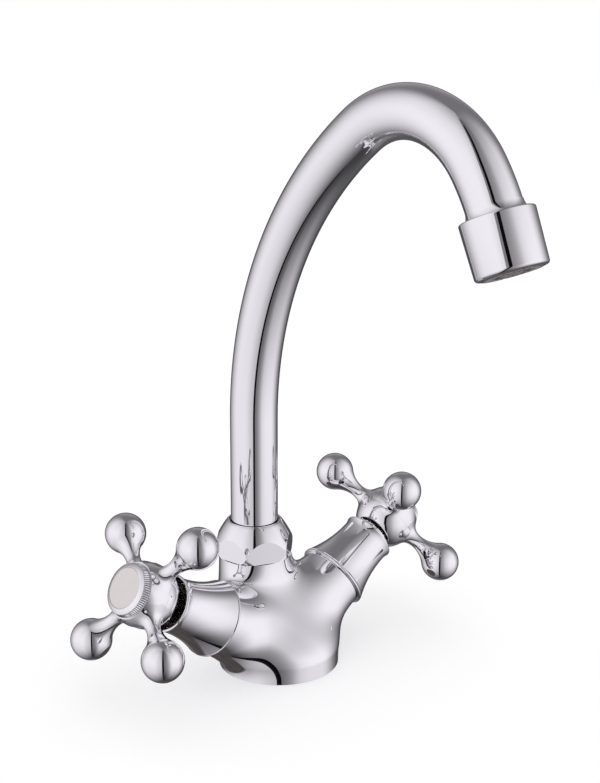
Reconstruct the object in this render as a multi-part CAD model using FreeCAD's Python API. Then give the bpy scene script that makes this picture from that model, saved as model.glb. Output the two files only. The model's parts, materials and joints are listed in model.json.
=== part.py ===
import FreeCAD, Part
import math
import os

# Two-handle mixer tap with a high swivel spout. Millimetres and degrees.
# Origin: centre of the base on the mounting surface. +Z is up, -Y is the way
# the spout points, -X is the hot side and +X the cold side.

# Base and body casting
base_r = 25.0
base_straight = 4.0          # upright part of the base before it draws in
base_draw_start = 6.2        # height where the outline starts leaning to the neck
neck_draw_end = 36.0         # height where the neck is round and upright again
neck_y = 16.0                # the neck and spout stand this far behind the base centre
neck_r = 15.1
neck_shoulder_z = 43.3       # top of the visible neck, just under the spout nut
body_blend_r = 6.0           # soft inside corners between the arms and the body
draw_steps = 5               # outlines between the base and the neck

# Valve arms, tilted up from the horizontal
valve_tilt_angle = 30.7
valve_origin_y = 3.3
valve_origin_z = 7.4
arm_r = 14.3
arm_root = 10.0              # where the arm starts inside the body, along its axis
arm_end = 39.4
wall_margin = 0.2            # slack between a soft ring and the groove that holds it

# Underside of the base
gasket_edge = 2.6            # from the base's rim to the gasket
gasket_width = 3.8
gasket_t = 2.0
inlet_x = 9.5
inlet_r = 4.5                # core of an M10 hose thread
inlet_thread = 9.5           # threaded length, with a narrower water way above it
inlet_way_r = 3.6
inlet_depth = 14.0
stud_y = -13.0
stud_r = 3.4                 # core of an M8 fixing stud thread
stud_depth = 12.0

# Water ways in the body
chamber_floor = 17.0         # seat of the cartridge, along the valve axis
chamber_gap = 0.8            # room for water round the cartridge's cage
seat_port_r = 3.8
seat_port_start = 11.0
outlet_port_r = 3.2
outlet_port_rise = 6.0       # above the chamber's floor
neck_bore_r = 8.5
neck_bore_floor = 28.0

# Spout nut and the neck thread under it
neck_thread_length = 7.2
neck_thread_land = 0.4       # the thread stands this far outside the tail's flange
nut_gap = 0.2
nut_flats = 30.0
nut_corner_trim = 0.25       # turned off the hexagon's corners
nut_foot_land = 0.8          # the foot is this much larger than the neck
nut_foot_height = 3.0
nut_foot_bulge = 0.15
nut_flat_height = 2.0
nut_cone_bulge = 0.4
nut_lip_height = 3.6         # lip above the roof that holds the spout down
nut_lip_land = 1.5           # lip outside the tube
nut_turn_angle = -20.7       # one flat faces this far from straight ahead
nut_thread_gap = 0.1
spout_gap = 0.3              # free play between the turning spout and the nut

# Spout tube and tail
tube_r = 9.9
tube_wall = 1.0
tube_upright = 48.5          # straight run above the tail's flange
slide_ring_t = 0.8
turn_gap = 0.1               # play above and below the tail flange
tail_flange_land = 1.6       # flange outside the tube
tail_flange_t = 2.5
tail_gap = 0.1
tail_wall = 2.2
tail_foot_rise = 5.0         # lower end of the tail above the bore's floor
tail_spigot = 8.0
friction_ring_t = 1.0
tail_seal_section = 1.2
tail_seal_rises = (3.0, 10.0)    # above the lower end of the tail
first_bend_r = 151.8
first_bend_angle = 53.6
second_bend_r = 39.8
second_bend_angle = 90.8
third_bend_r = 87.4
third_bend_angle = 12.3
outlet_straight = 6.6        # straight end of the tube inside the outlet

# Outlet end: a soldered fitting, an aerator housing and its insert
fitting_collar_wall = 1.0
fitting_collar = 2.45
fitting_start = -4.0         # measured along the outlet from the end of the bends
fitting_edge = 0.4
solder_gap = 0.12            # the fitting's bore clears the tube, still slightly bent there
fitting_hollow = 0.15        # the collar widens in a hollow curve
fitting_thread_wall = 1.6
housing_wall = 1.8
housing_draw = 0.4           # narrower at the mouth
housing_edge = 0.7
housing_mouth_edge = 1.2
housing_mouth_lap = 0.5      # turned in under the insert
housing_mouth_t = 1.1
housing_thread_gap = 0.1
washer_t = 1.6
washer_width = 2.9
insert_gap = 0.2
insert_length = 9.2          # down to the shoulder that rests on the mouth
insert_nose = 0.3            # stands out of the mouth
insert_nose_gap = 0.15
insert_rim = 1.6
insert_floor = 2.0
insert_cells = 7
insert_pitch = 2.5
insert_hole = 1.6
key_notches = 4
key_width = 1.4
key_depth = 1.1
key_turn_angle = 32.0
screen_t = 0.6
screen_depth = 2.4           # from the washer down to the ledge under the screen
screen_ledge = 0.8

# Valve headwork: the ceramic cartridge screwed into each arm
cartridge_thread_land = 0.9  # thread outside the chamber
thread_gap = 0.05
seat_seal_t = 2.2
seat_seal_edge = 0.6         # from the port's rim to the seal
disc_r = 7.6
disc_t = 3.0
disc_port_inner_r = 2.2
disc_port_edge = 1.2         # from the ports to the disc's rim
disc_port_angle = 80.0
foot_t = 2.6
foot_step = 0.2
lug_width = 3.0
lug_length = 11.0
lug_depth = 1.2
lug_gap = 0.1
cage_gap = 0.1
cage_wall = 0.9
cage_window_width = 8.0
cage_foot = 0.6
bonnet_seal_t = 0.9
bonnet_seal_gap = 0.3
bonnet_seal_step = 1.3       # from the arm's rim to the seal
hex_cover = 1.9              # from the arm's rim to the hexagon's corners
hex_height = 5.3
upper_thread_length = 4.4
upper_thread_land = 1.6      # upper thread outside the barrel
barrel_length = 6.0
barrel_wall = 2.6
spindle_r = 5.0
spindle_gap = 0.1
seal_section = 1.2
spindle_seal_rises = (4.0, 9.0)  # above the start of the cartridge's thread
circlip_t = 0.7
circlip_lap = 1.2            # clip outside the spindle
circlip_opening_angle = 50.0
circlip_depth = 0.7
circlip_play = 0.25
spline_step = 1.0            # toothed end inside the spindle's shaft
spline_depth = 0.35
spline_teeth = 20
spline_relief = 0.65
spline_clearance = 1.5       # from the teeth's end to the bottom of the handle's socket

# Sleeve that hides the headwork
sleeve_lap = 1.1             # over the end of the arm
sleeve_lip_wall = 1.5
sleeve_lip_edge = 1.1        # rounding of the wide end
sleeve_length = 26.3
sleeve_waist_rise = 16.7
sleeve_waist_wall = 1.6
sleeve_flare_length = 3.6    # from the narrowest part to the mouth
sleeve_flare_start = 1.25    # wall there
sleeve_flare_step = 0.6      # the mouth is this much wider than the narrowest part
sleeve_mouth_edge = 0.6
sleeve_mouth_wall = 0.85
sleeve_bore_gap = 0.7        # bore outside the upper thread
sleeve_bore_depth = 5.0      # the mouth narrows to the bore over this depth
sleeve_shoulder = 1.5        # slope inside, above the end of the arm
sleeve_web_t = 3.2

# Cross handle
handle_gap = 1.8             # between the sleeve's mouth and the handle
handle_skirt = 4.4           # part of the hub that dips into the sleeve
handle_skirt_gap = 1.6
hub_r = 12.8
hub_flare_step = 1.6
hub_flare_height = 3.1
hub_wide_height = 9.1
hub_height = 17.8
hub_crown_step = 1.5
hub_crown_rise = 2.0         # fullest point of the crown above the balls
ball_height = 11.0
ball_r = 8.3
ball_reach = 30.9            # from the valve axis to the centre of a ball
handle_arms = 4
arm_neck_r = 2.95
arm_neck_reach = 17.3
arm_root_curve = 8.0
arm_root_angle = 58.2        # turn of the hollow curve from the neck to the root
socket_gap = 0.1
socket_depth = 11.0
screw_web = 4.0              # wall between the socket and the screw's seat
screw_r = 1.7
screw_length = 13.0
screw_head_r = 3.8
screw_head_t = 2.4
screw_key = 2.5
screw_clearance = 0.5
screw_thread_gap = 0.05
hot_handle_angle = 53.4
cold_handle_angle = 41.2

# Index cap on top of the handle
cap_step = 0.45              # band inside the hub's rim
cap_land = 1.55              # band outside the socket
cap_socket_depth = 4.0
cap_band = 1.5
cap_bevel = 0.9
cap_wall = 1.2
cap_gap = 0.1
cap_seat = 1.0
cap_skirt = 3.5
cap_face_width = 2.25
badge_dome = 0.5

# Radii that follow from the fits
gasket_outer_r = base_r - gasket_edge
gasket_inner_r = gasket_outer_r - gasket_width
tail_flange_r = tube_r + tail_flange_land
tail_r = neck_bore_r - tail_gap
tail_bore_r = tail_r - tail_wall
neck_thread_r = tail_flange_r + neck_thread_land
nut_corner_r = nut_flats / math.sqrt(3) - nut_corner_trim
nut_foot_r = neck_r + nut_foot_land
nut_lip_r = tube_r + nut_lip_land
fitting_collar_r = tube_r + fitting_collar_wall
fitting_thread_r = tube_r + fitting_thread_wall
housing_bore_r = fitting_thread_r + housing_thread_gap
housing_r = fitting_thread_r + housing_wall
insert_r = housing_bore_r - insert_gap
housing_end_r = housing_r - housing_draw
housing_mouth_r = insert_r - housing_mouth_lap
insert_nose_r = housing_mouth_r - insert_nose_gap
seat_seal_inner_r = seat_port_r + seat_seal_edge
disc_port_outer_r = disc_r - disc_port_edge
foot_r = disc_r - foot_step
cage_inner_r = disc_r + cage_gap
cage_outer_r = cage_inner_r + cage_wall
chamber_r = cage_outer_r + chamber_gap
thread_r = chamber_r + cartridge_thread_land
bonnet_seal_inner_r = thread_r + bonnet_seal_gap
bonnet_seal_outer_r = arm_r - bonnet_seal_step
hex_corner_r = arm_r - hex_cover
hex_flats = hex_corner_r * math.sqrt(3)
barrel_r = spindle_r + barrel_wall
upper_thread_r = barrel_r + upper_thread_land
spindle_seal_middle_r = spindle_r + spindle_gap / 2 - seal_section / 2
circlip_floor_r = spindle_r - circlip_depth
circlip_r = spindle_r + circlip_lap
spline_r = spindle_r - spline_step
spline_root_r = spline_r - spline_depth
sleeve_lip_r = arm_r + sleeve_lip_wall
sleeve_bore_r = upper_thread_r + sleeve_bore_gap
sleeve_waist_r = sleeve_bore_r + sleeve_waist_wall
sleeve_narrow_r = sleeve_bore_r + sleeve_flare_start
sleeve_flare_r = sleeve_narrow_r + sleeve_flare_step
sleeve_mouth_r = sleeve_flare_r - sleeve_mouth_wall
hub_skirt_r = sleeve_bore_r - handle_skirt_gap
hub_top_r = hub_r - hub_crown_step
cap_r = hub_top_r - cap_step
cap_socket_r = cap_r - cap_land
badge_r = cap_r - cap_face_width

# Distances along the valve axis that follow from the stack of parts
fixed_disc_w = chamber_floor + seat_seal_t
moving_disc_w = fixed_disc_w + disc_t
foot_w = moving_disc_w + disc_t
foot_top_w = foot_w + foot_t
cage_roof_w = foot_top_w + 3 * spindle_gap
thread_start_w = cage_roof_w + cage_wall
hex_base_w = arm_end + bonnet_seal_t
hex_top_w = hex_base_w + hex_height
upper_thread_end = hex_top_w + upper_thread_length
barrel_end = upper_thread_end + barrel_length
clip_w = barrel_end + circlip_play
spline_start = clip_w + circlip_t + spline_relief
sleeve_lip_w = arm_end - sleeve_lap
sleeve_top_w = sleeve_lip_w + sleeve_length
sleeve_waist_w = sleeve_lip_w + sleeve_waist_rise
sleeve_narrow_w = sleeve_top_w - sleeve_flare_length
sleeve_flare_w = sleeve_top_w - sleeve_mouth_edge
hub_foot_w = sleeve_top_w + handle_gap
handle_start = hub_foot_w - handle_skirt
socket_end = handle_start + socket_depth
screw_seat = socket_end + screw_web
spline_end = socket_end - spline_clearance
ball_plane = hub_foot_w + ball_height
hub_top = hub_foot_w + hub_height

# Heights along the neck axis that follow from the stack of parts
neck_top_z = neck_shoulder_z + neck_thread_length
slide_ring_top = neck_top_z + slide_ring_t
flange_z = slide_ring_top + turn_gap
flange_top = flange_z + tail_flange_t
friction_ring_z = flange_top + turn_gap
nut_roof_z = friction_ring_z + friction_ring_t
nut_bottom_z = neck_shoulder_z + nut_gap
nut_waist_z = nut_bottom_z + nut_foot_height
nut_shoulder_z = nut_waist_z + nut_flat_height
nut_lip_z = nut_roof_z + nut_lip_height
tail_bottom_z = neck_bore_floor + tail_foot_rise
tail_seal_heights = [tail_bottom_z + rise for rise in tail_seal_rises]
spindle_seal_w = [thread_start_w + rise for rise in spindle_seal_rises]

# Distances along the outlet that follow from the stack of parts
fitting_collar_end = fitting_start + fitting_collar
insert_start = outlet_straight + washer_t
insert_shoulder = insert_start + insert_length
housing_end = insert_shoulder + housing_mouth_t
insert_end = housing_end + insert_nose


def write_step(name, shape):
    # one file for each named piece
    shape.exportStep("parts/" + name + ".step")


def turned(start, *moves):
    # solid of revolution about Z; a move is one (radius, height) point for a
    # straight edge, or a pair of points for an arc through the first
    edges = []
    here = FreeCAD.Vector(start[0], 0, start[1])
    first = here
    for move in moves:
        if isinstance(move[0], tuple):
            middle = FreeCAD.Vector(move[0][0], 0, move[0][1])
            end = FreeCAD.Vector(move[1][0], 0, move[1][1])
            edges.append(Part.Arc(here, middle, end).toShape())
        else:
            end = FreeCAD.Vector(move[0], 0, move[1])
            edges.append(Part.makeLine(here, end))
        here = end
    edges.append(Part.makeLine(here, first))
    face = Part.Face(Part.Wire(edges))
    return face.revolve(FreeCAD.Vector(0, 0, 0), FreeCAD.Vector(0, 0, 1), 360)


def ring(inner, outer, bottom, top):
    return turned((inner, bottom), (outer, bottom), (outer, top), (inner, top))


def rod(radius, bottom, top):
    return Part.makeCylinder(radius, top - bottom, FreeCAD.Vector(0, 0, bottom))


def seal_ring(middle_r, section, height):
    return Part.makeTorus(middle_r, section / 2, FreeCAD.Vector(0, 0, height))


def hexagon(flats, bottom, top):
    corner = flats / math.sqrt(3)
    points = []
    for step in range(7):
        angle = math.radians(60 * step + 30)
        points.append(FreeCAD.Vector(corner * math.sin(angle), corner * math.cos(angle), bottom))
    face = Part.Face(Part.makePolygon(points))
    return face.extrude(FreeCAD.Vector(0, 0, top - bottom))


def slab(length, width, bottom, top):
    return Part.makeBox(length, width, top - bottom, FreeCAD.Vector(-length / 2, -width / 2, bottom))


def circle_wire(y, z, radius):
    return Part.Wire(Part.Circle(FreeCAD.Vector(0, y, z), FreeCAD.Vector(0, 0, 1), radius).toShape())


def on_valve(shape, side):
    # carries a shape made along Z onto the hot (-1) or cold (+1) valve axis
    turn = FreeCAD.Rotation(FreeCAD.Vector(0, 1, 0), side * (90 - valve_tilt_angle))
    where = FreeCAD.Placement(FreeCAD.Vector(0, valve_origin_y, valve_origin_z), turn)
    moved = shape.copy()
    moved.Placement = where.multiply(shape.Placement)
    return moved


def on_neck(shape):
    moved = shape.copy()
    moved.translate(FreeCAD.Vector(0, neck_y, 0))
    return moved


def valve_point(side, along):
    return on_valve(Part.Vertex(0, 0, along), side).Point


def body_outside():
    # round base drawn up and back into the neck, with the two arms let into it
    sections = [circle_wire(0, 0, base_r), circle_wire(0, base_straight, base_r)]
    for step in range(draw_steps + 1):
        t = step / draw_steps
        ease = 3 * t ** 2 - 2 * t ** 3
        height = base_draw_start + (neck_draw_end - base_draw_start) * t
        radius = base_r + (neck_r - base_r) * ease
        sections.append(circle_wire(neck_y * ease, height, radius))
    sections.append(circle_wire(neck_y, neck_shoulder_z, neck_r))
    body = Part.makeLoft(sections, True, False)
    for side in (-1, 1):
        body = body.fuse(on_valve(rod(arm_r, arm_root, arm_end), side))
    body = body.Solids[0]
    return body.makeFillet(body_blend_r, inside_corners(body))


def inside_corners(body):
    # the edges where an arm meets the drawn body or the other arm
    found = []
    for edge in body.Edges:
        faces = body.ancestorsOfType(edge, Part.Face)
        kinds = {face.Surface.TypeId for face in faces}
        if len(faces) == 2 and "Part::GeomCylinder" in kinds and "Part::GeomPlane" not in kinds:
            found.append(edge)
    return found


def body_casting():
    body = body_outside()
    body = body.fuse(on_neck(rod(neck_thread_r, neck_shoulder_z - 1, neck_top_z)))
    holes = [on_neck(rod(neck_bore_r, neck_bore_floor, neck_top_z + 1))]
    groove_in = gasket_inner_r - wall_margin
    groove_out = gasket_outer_r + wall_margin
    holes.append(ring(groove_in, groove_out, -1, gasket_t))
    stud = rod(stud_r, -1, stud_depth)
    stud.translate(FreeCAD.Vector(0, stud_y, 0))
    holes.append(stud)
    for side in (-1, 1):
        for radius, depth in ((inlet_r, inlet_thread), (inlet_way_r, inlet_depth)):
            inlet = rod(radius, -1, depth)
            inlet.translate(FreeCAD.Vector(side * inlet_x, valve_origin_y, 0))
            holes.append(inlet)
        holes.append(on_valve(rod(seat_port_r, seat_port_start, chamber_floor + 1), side))
        holes.append(on_valve(rod(chamber_r, chamber_floor, arm_end + 1), side))
        holes.append(on_valve(rod(thread_r + thread_gap, thread_start_w, arm_end + 1), side))
        holes.append(outlet_port(side))
    for hole in holes:
        body = body.cut(hole)
    return body


def outlet_port(side):
    # slanting way from the valve chamber up into the neck
    start = valve_point(side, chamber_floor + outlet_port_rise)
    end = FreeCAD.Vector(0, neck_y, neck_bore_floor + outlet_port_r)
    return Part.makeCylinder(outlet_port_r, (end - start).Length, start, end - start)


def base_gasket():
    return ring(gasket_inner_r, gasket_outer_r, 0, gasket_t)


def spout_nut():
    # turned cone and foot, six flats, threaded inside and open at the lip
    cone_mid = ((nut_corner_r + nut_lip_r) / 2 + nut_cone_bulge, (nut_shoulder_z + nut_lip_z) / 2)
    foot_mid = ((nut_foot_r + nut_corner_r) / 2 + nut_foot_bulge, (nut_bottom_z + nut_waist_z) / 2)
    blank = turned(
        (0, nut_bottom_z),
        (nut_foot_r, nut_bottom_z),
        (foot_mid, (nut_corner_r, nut_waist_z)),
        (nut_corner_r, nut_shoulder_z),
        (cone_mid, (nut_lip_r, nut_lip_z)),
        (0, nut_lip_z),
    )
    flats = hexagon(nut_flats, nut_bottom_z - 1, nut_lip_z + 1)
    flats.rotate(FreeCAD.Vector(0, 0, 0), FreeCAD.Vector(0, 0, 1), nut_turn_angle)
    nut = blank.common(flats)
    nut = nut.cut(rod(neck_thread_r + nut_thread_gap, nut_bottom_z - 1, nut_roof_z))
    nut = nut.cut(rod(tube_r + spout_gap, nut_roof_z - 1, nut_lip_z + 1))
    return on_neck(nut)


def slide_ring():
    return on_neck(ring(neck_bore_r + wall_margin, tail_flange_r, neck_top_z, slide_ring_top))


def friction_ring():
    return on_neck(ring(tube_r + spout_gap, tail_flange_r, friction_ring_z, nut_roof_z))


def spout_tail():
    # brass tail: sealed barrel below, flange held by the nut, spigot in the tube
    spigot_r = tube_r - tube_wall
    tail = rod(tail_r, tail_bottom_z, flange_z + 1)
    tail = tail.fuse(rod(tail_flange_r, flange_z, flange_top))
    tail = tail.fuse(rod(spigot_r, flange_top - 1, flange_top + tail_spigot))
    tail = tail.cut(rod(tail_bore_r, tail_bottom_z - 1, flange_top + tail_spigot + 1))
    for height in tail_seal_heights:
        half = tail_seal_section / 2 + wall_margin / 2
        tail = tail.cut(ring(tail_r - tail_seal_section, tail_r + 1, height - half, height + half))
    return on_neck(tail)


def tail_seals():
    middle_r = tail_r - tail_seal_section / 2
    seals = [on_neck(seal_ring(middle_r, tail_seal_section, height)) for height in tail_seal_heights]
    return Part.makeCompound(seals)


def spout_path():
    # upright, three tangent bends that tighten over the top, then the outlet
    point = FreeCAD.Vector(0, neck_y, flange_top)
    top = FreeCAD.Vector(0, neck_y, flange_top + tube_upright)
    edges = [Part.makeLine(point, top)]
    point = top
    lean = 0.0
    bends = (
        (first_bend_r, first_bend_angle),
        (second_bend_r, second_bend_angle),
        (third_bend_r, third_bend_angle),
    )
    for radius, turn in bends:
        middle = bend_point(point, lean, radius, turn / 2)
        end = bend_point(point, lean, radius, turn)
        edges.append(Part.Arc(point, middle, end).toShape())
        point = end
        lean += turn
    edges.append(Part.makeLine(point, point + heading(lean) * outlet_straight))
    return Part.Wire(edges), point, heading(lean)


def heading(lean):
    # unit vector in the spout's plane, leaning forward from upright
    angle = math.radians(lean)
    return FreeCAD.Vector(0, -math.sin(angle), math.cos(angle))


def inward(lean):
    # unit vector square to the heading, towards the inside of the bend
    angle = math.radians(lean)
    return FreeCAD.Vector(0, -math.cos(angle), -math.sin(angle))


def bend_point(start, lean, radius, turn):
    centre = start + inward(lean) * radius
    return centre - inward(lean + turn) * radius


def spout_tube():
    path = spout_path()[0]
    outer = swept(path, tube_r)
    return outer.cut(swept(path, tube_r - tube_wall))


def swept(path, radius):
    start = path.Edges[0].Vertexes[0].Point
    loop = Part.Wire(Part.Circle(start, FreeCAD.Vector(0, 0, 1), radius).toShape())
    return path.makePipeShell([loop], True, False)


def at_outlet(shape):
    # carries a shape made along Z to the end of the bends, pointing down the outlet
    _, point, direction = spout_path()
    turn = FreeCAD.Rotation(FreeCAD.Vector(0, 0, 1), direction)
    moved = shape.copy()
    moved.Placement = FreeCAD.Placement(point, turn).multiply(shape.Placement)
    return moved


def outlet_fitting():
    # flared collar soldered round the tube, with a thread for the housing
    flare_mid_r = (tube_r + fitting_collar_r) / 2 - fitting_hollow
    flare_mid = (flare_mid_r, (2 * fitting_start + fitting_collar_end) / 3)
    bore_r = tube_r + solder_gap
    return at_outlet(turned(
        (bore_r, fitting_start),
        (tube_r + fitting_edge, fitting_start),
        (flare_mid, (fitting_collar_r, fitting_collar_end)),
        (fitting_thread_r, fitting_collar_end),
        (fitting_thread_r, outlet_straight),
        (bore_r, outlet_straight),
    ))


def aerator_housing():
    # cap with a rounded shoulder, threaded inside, turned in at the mouth
    soft = housing_edge * (1 - math.sqrt(0.5))
    mouth_soft = housing_mouth_edge * (1 - math.sqrt(0.5))
    rim_r = housing_end_r - housing_mouth_edge
    top = fitting_collar_end
    return at_outlet(turned(
        (housing_bore_r, top),
        (housing_r - housing_edge, top),
        ((housing_r - soft, top + soft), (housing_r, top + housing_edge)),
        (housing_end_r, housing_end - housing_mouth_edge),
        ((housing_end_r - mouth_soft, housing_end - mouth_soft), (rim_r, housing_end)),
        (housing_mouth_r, housing_end),
        (housing_mouth_r, insert_shoulder + wall_margin / 2),
        (housing_bore_r, insert_shoulder + wall_margin / 2),
    ))


def aerator_washer():
    return at_outlet(ring(insert_r - washer_width, insert_r, outlet_straight, insert_start))


def aerator_insert():
    # cup with a ledge for the screen, a square grid in its floor and notches for a key
    wall_r = insert_r - insert_rim
    insert = rod(insert_r, insert_start, insert_shoulder)
    insert = insert.fuse(rod(insert_nose_r, insert_shoulder - 1, insert_end))
    insert = insert.cut(rod(wall_r, insert_start - 1, insert_start + screen_depth))
    insert = insert.cut(rod(wall_r - screen_ledge, insert_start, insert_end - insert_floor))
    cells = []
    reach = insert_cells * insert_pitch / 2
    for row in range(insert_cells):
        for column in range(insert_cells):
            x = (row + 0.5) * insert_pitch - reach
            y = (column + 0.5) * insert_pitch - reach
            if math.hypot(x, y) < wall_r - insert_pitch / 2:
                cell = slab(insert_hole, insert_hole, insert_end - insert_floor - 1, insert_end + 1)
                cell.translate(FreeCAD.Vector(x, y, 0))
                cells.append(cell)
    insert = insert.cut(Part.makeCompound(cells))
    for step in range(key_notches):
        notch = slab(2 * key_depth, key_width, insert_end - insert_floor / 2, insert_end + 1)
        notch.translate(FreeCAD.Vector(insert_nose_r, 0, 0))
        turn = key_turn_angle + step * 360 / key_notches
        notch.rotate(FreeCAD.Vector(0, 0, 0), FreeCAD.Vector(0, 0, 1), turn)
        insert = insert.cut(notch)
    return at_outlet(insert)


def aerator_screen():
    top = insert_start + screen_depth
    return at_outlet(rod(insert_r - insert_rim - wall_margin / 2, top - screen_t, top))


def sector(inner, outer, spread, facing, bottom, top):
    # ring segment centred on one direction
    part = ring(inner, outer, bottom, top)
    far = 2 * outer
    across = far * math.tan(math.radians(spread / 2))
    tip = FreeCAD.Vector(0, 0, bottom)
    left = FreeCAD.Vector(far, across, bottom)
    right = FreeCAD.Vector(far, -across, bottom)
    wedge = Part.Face(Part.makePolygon([tip, left, right, tip]))
    part = part.common(wedge.extrude(FreeCAD.Vector(0, 0, top - bottom)))
    part.rotate(FreeCAD.Vector(0, 0, 0), FreeCAD.Vector(0, 0, 1), facing)
    return part


def water_sectors(facing, bottom, top):
    # two opposite ports, cut through a disc or the spindle's foot
    ports = [
        sector(disc_port_inner_r, disc_port_outer_r, disc_port_angle, facing + turn, bottom, top)
        for turn in (0, 180)
    ]
    return Part.makeCompound(ports)


def seat_seal(side):
    return on_valve(ring(seat_seal_inner_r, disc_r, chamber_floor, fixed_disc_w), side)


def fixed_disc(side):
    disc = rod(disc_r, fixed_disc_w, moving_disc_w)
    return on_valve(disc.cut(water_sectors(0, fixed_disc_w - 1, moving_disc_w + 1)), side)


def moving_disc(side):
    # closed at rest: its ports lie a quarter turn away from the fixed disc's
    disc = rod(disc_r, moving_disc_w, foot_w)
    disc = disc.cut(water_sectors(90, moving_disc_w - 1, foot_w + 1))
    disc = disc.cut(slab(lug_length, lug_width, foot_w - lug_depth, foot_w + 1))
    return on_valve(disc, side)


def spindle(side):
    # foot that drives the moving disc, sealed shaft, clip groove and toothed end
    body = rod(foot_r, foot_w, foot_top_w)
    body = body.cut(water_sectors(90, foot_w - 1, foot_top_w + 1))
    lug = slab(lug_length - 2 * lug_gap, lug_width - 2 * lug_gap, foot_w - lug_depth + lug_gap, foot_w + 1)
    body = body.fuse(lug)
    body = body.fuse(rod(spindle_r, foot_top_w - foot_t / 2, spline_start))
    for middle in spindle_seal_w:
        floor_r = spindle_seal_middle_r - seal_section / 2 - spindle_gap / 2
        half = seal_section / 2 + wall_margin / 2
        body = body.cut(ring(floor_r, spindle_r + 1, middle - half, middle + half))
    clip_top = clip_w + circlip_t
    body = body.cut(ring(circlip_floor_r, spindle_r + 1, clip_w - spindle_gap, clip_top + spindle_gap))
    body = body.fuse(toothed_end())
    tapped = rod(screw_r + screw_thread_gap, screw_seat - screw_length - 1, spline_end + 1)
    return on_valve(body.cut(tapped), side)


def toothed_end():
    # fine square-cut teeth that the handle grips
    points = []
    for tooth in range(spline_teeth):
        for part, radius in ((0.0, spline_root_r), (0.2, spline_r), (0.5, spline_r), (0.7, spline_root_r)):
            angle = 2 * math.pi * (tooth + part) / spline_teeth
            points.append(FreeCAD.Vector(radius * math.cos(angle), radius * math.sin(angle), spline_start))
    points.append(points[0])
    face = Part.Face(Part.makePolygon(points))
    return face.extrude(FreeCAD.Vector(0, 0, spline_end - spline_start))


def spindle_seals(side):
    rings = [seal_ring(spindle_seal_middle_r, seal_section, middle) for middle in spindle_seal_w]
    return on_valve(Part.makeCompound(rings), side)


def circlip(side):
    clip = ring(circlip_floor_r + spindle_gap / 2, circlip_r, clip_w, clip_w + circlip_t)
    gap = sector(1, circlip_r + 1, circlip_opening_angle, 180, clip_w - 1, clip_w + circlip_t + 1)
    return on_valve(clip.cut(gap), side)


def headwork(side):
    # brass cartridge body: cage for the discs, thread, hexagon and spindle barrel
    bottom = chamber_floor + cage_foot
    body = rod(cage_outer_r, bottom, thread_start_w + 1)
    body = body.fuse(rod(thread_r, thread_start_w, hex_base_w + 1))
    body = body.fuse(hexagon(hex_flats, hex_base_w, hex_top_w))
    body = body.fuse(rod(upper_thread_r, hex_top_w - 1, upper_thread_end))
    body = body.fuse(rod(barrel_r, upper_thread_end - 1, barrel_end))
    body = body.cut(rod(cage_inner_r, bottom - 1, cage_roof_w))
    body = body.cut(rod(spindle_r + spindle_gap, cage_roof_w - 1, barrel_end + 1))
    body = body.cut(slab(cage_window_width, 4 * cage_outer_r, foot_w + spindle_gap, foot_top_w))
    return on_valve(body, side)


def bonnet_seal(side):
    return on_valve(ring(bonnet_seal_inner_r, bonnet_seal_outer_r, arm_end, hex_base_w), side)


def sleeve(side):
    # trumpet sleeve with a rounded wide end and a flared mouth, screwed on by its web
    lip_in = arm_r + spout_gap
    lip_soft = sleeve_lip_edge * (1 - math.sqrt(0.5))
    mouth_soft = sleeve_mouth_edge * (1 - math.sqrt(0.5))
    web_low = hex_top_w + wall_margin
    web_high = web_low + sleeve_web_t
    cavity_r = hex_corner_r + wall_margin
    flare_mid = (sleeve_narrow_r + sleeve_flare_step / 4, (sleeve_narrow_w + sleeve_flare_w) / 2)
    shell = turned(
        (lip_in, sleeve_lip_w),
        (sleeve_lip_r - sleeve_lip_edge, sleeve_lip_w),
        (
            (sleeve_lip_r - lip_soft, sleeve_lip_w + lip_soft),
            (sleeve_lip_r, sleeve_lip_w + sleeve_lip_edge),
        ),
        ((sleeve_waist_r, sleeve_waist_w), (sleeve_narrow_r, sleeve_narrow_w)),
        (flare_mid, (sleeve_flare_r, sleeve_flare_w)),
        (
            (sleeve_flare_r - mouth_soft, sleeve_top_w - mouth_soft),
            (sleeve_flare_r - sleeve_mouth_edge, sleeve_top_w),
        ),
        (sleeve_mouth_r, sleeve_top_w),
        (sleeve_bore_r, sleeve_top_w - sleeve_bore_depth),
        (sleeve_bore_r, web_high),
        (upper_thread_r + thread_gap, web_high),
        (upper_thread_r + thread_gap, web_low),
        (cavity_r, web_low),
        (cavity_r + wall_margin, hex_base_w + sleeve_shoulder),
        (lip_in, hex_base_w - wall_margin),
    )
    return on_valve(shell, side)


def cross_handle(side, angle):
    # turned hub with pear-shaped arms, bored for the spindle, screw and cap
    handle = turned(
        (0, handle_start),
        (hub_skirt_r, handle_start),
        (hub_skirt_r, hub_foot_w),
        ((hub_r - hub_flare_step, hub_foot_w + hub_flare_height), (hub_r, hub_foot_w + hub_wide_height)),
        ((hub_r, ball_plane + hub_crown_rise), (hub_top_r, hub_top)),
        (0, hub_top),
    )
    arm = handle_arm()
    for step in range(handle_arms):
        one = arm.copy()
        one.rotate(FreeCAD.Vector(0, 0, 0), FreeCAD.Vector(0, 0, 1), angle + step * 360 / handle_arms)
        handle = handle.fuse(one)
    handle = handle.cut(rod(spline_r + socket_gap, handle_start - 1, socket_end))
    handle = handle.cut(rod(screw_r + screw_clearance, socket_end - 1, screw_seat + 1))
    handle = handle.cut(rod(screw_head_r + screw_clearance, screw_seat, hub_top))
    handle = handle.cut(rod(cap_socket_r, hub_top - cap_socket_depth, hub_top + 1))
    return on_valve(handle, side)


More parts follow.
